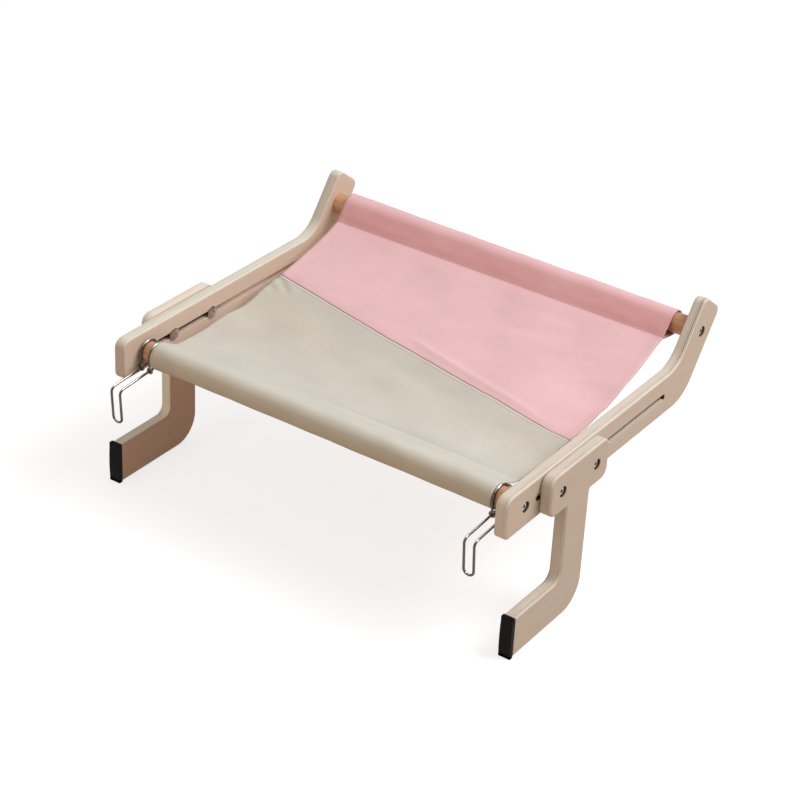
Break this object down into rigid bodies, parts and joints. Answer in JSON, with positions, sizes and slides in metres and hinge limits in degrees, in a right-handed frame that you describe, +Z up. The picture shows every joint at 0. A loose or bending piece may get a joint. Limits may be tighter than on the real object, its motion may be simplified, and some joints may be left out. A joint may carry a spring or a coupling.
{
  "type": "cat hammock",
  "caption": "Window-sill cat hammock: a two-tone cloth sling on dowels between plywood arms, with sliding hook-shaped legs, wall pads and wire hooks.",
  "frame": {"origin": "midway between the two arms, at their front ends, in the plane of their undersides, which lies on the sill", "axes": "+X along the dowels to the right as seen from the front, +Y from the wall side backward into the room, +Z up"},
  "size_m": [0.5652, 0.4741, 0.2639],
  "materials": {
    "plywood": "pale birch plywood, matt lacquer",
    "dowel_wood": "warm brown, satin",
    "pad_rubber": "black, matt",
    "insert_brass": "plain",
    "bolt_steel": "zinc plated",
    "nut_steel": "dark nickel",
    "hook_chrome": "polished",
    "grey_cloth": "fine canvas, matt",
    "pink_cloth": "fine canvas, matt"
  },
  "bodies": {
    "frame": {"left_arm": "plywood", "right_arm": "plywood", "front_dowel": "dowel_wood", "rear_dowel": "dowel_wood", "front_left_insert": "insert_brass", "front_right_insert": "insert_brass", "rear_left_insert": "insert_brass", "rear_right_insert": "insert_brass", "front_left_bolt": "bolt_steel", "front_right_bolt": "bolt_steel", "rear_left_bolt": "bolt_steel", "rear_right_bolt": "bolt_steel", "grey_panel": "grey_cloth", "pink_panel": "pink_cloth", "seam_allowance": "grey_cloth"},
    "left_leg_set": {"left_leg": "plywood", "left_wall_pad": "pad_rubber", "left_leg_front_bolt": "bolt_steel", "left_leg_rear_bolt": "bolt_steel", "left_leg_front_nut": "nut_steel", "left_leg_rear_nut": "nut_steel"},
    "right_leg_set": {"right_leg": "plywood", "right_wall_pad": "pad_rubber", "right_leg_front_bolt": "bolt_steel", "right_leg_rear_bolt": "bolt_steel", "right_leg_front_nut": "nut_steel", "right_leg_rear_nut": "nut_steel"},
    "left_hook_set": {"left_hook": "hook_chrome"},
    "right_hook_set": {"right_hook": "hook_chrome"}
  },
  "joints": [
    {"name": "left_leg_slide", "type": "slide", "parent": "frame", "child": "left_leg_set", "axis": [0, 1, 0], "range_m": [-0.026, 0.17]},
    {"name": "right_leg_slide", "type": "slide", "parent": "frame", "child": "right_leg_set", "axis": [0, 1, 0], "range_m": [-0.026, 0.17]},
    {"name": "left_hook_swing", "type": "hinge", "parent": "frame", "child": "left_hook_set", "pos_m": [-0.2415, 0.038, 0.025], "axis": [1, 0, 0], "range_deg": [-80, 90]},
    {"name": "right_hook_swing", "type": "hinge", "parent": "frame", "child": "right_hook_set", "pos_m": [0.2415, 0.038, 0.025], "axis": [1, 0, 0], "range_deg": [-80, 90]}
  ]
}
